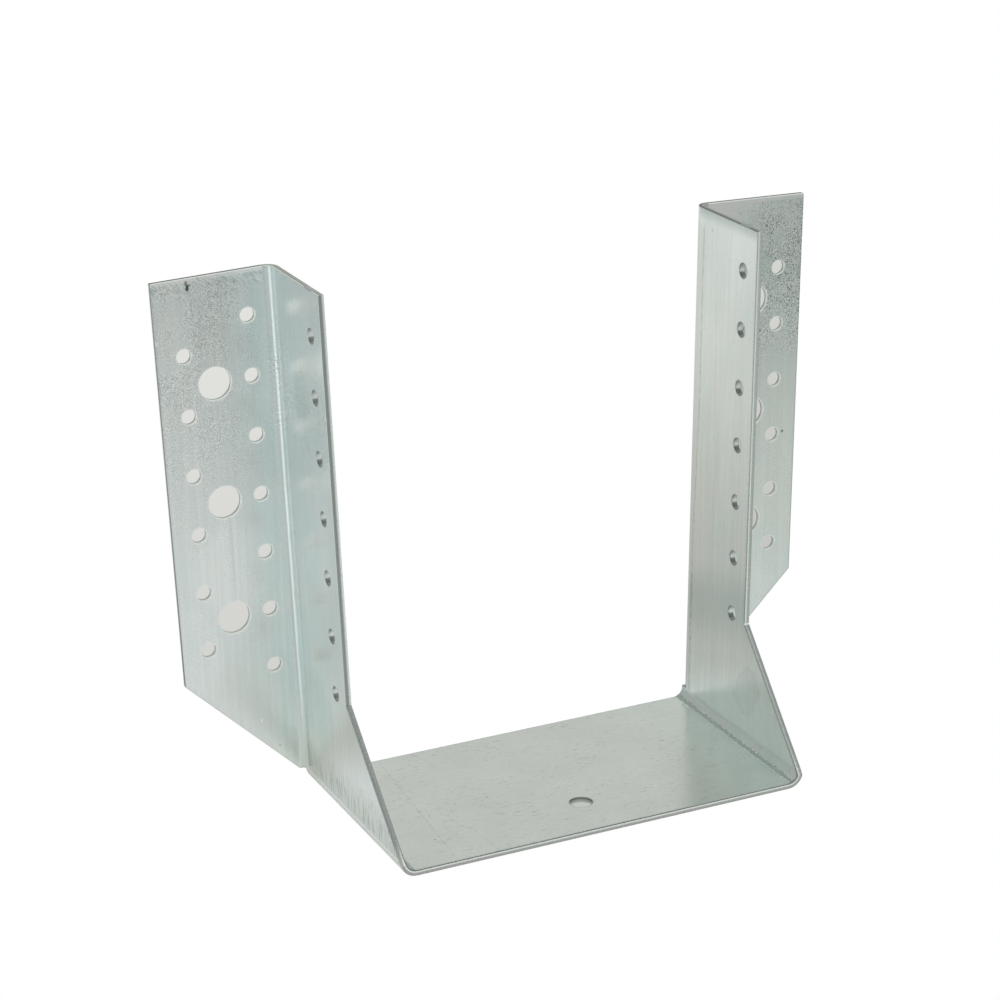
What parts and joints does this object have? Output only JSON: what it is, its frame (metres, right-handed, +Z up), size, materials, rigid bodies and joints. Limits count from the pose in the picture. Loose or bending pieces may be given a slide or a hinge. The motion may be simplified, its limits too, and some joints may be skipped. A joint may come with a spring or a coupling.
{
  "type": "joist hanger",
  "caption": "Folded galvanised steel joist hanger: a U-shaped cradle with a flat seat, tapered side walls and outward nailing flanges with nail and bolt holes.",
  "frame": {"origin": "centre of the bounding box at its bottom, on the seat's underside", "axes": "+X across the joist from wall to wall, +Y into the header, +Z up"},
  "size_m": [0.2336, 0.081, 0.18],
  "materials": {
    "galvanised_steel": "hot-dip galvanised sheet, semi-gloss with a fine grain"
  },
  "bodies": {
    "root": {"hanger": "galvanised_steel"}
  },
  "joints": []
}
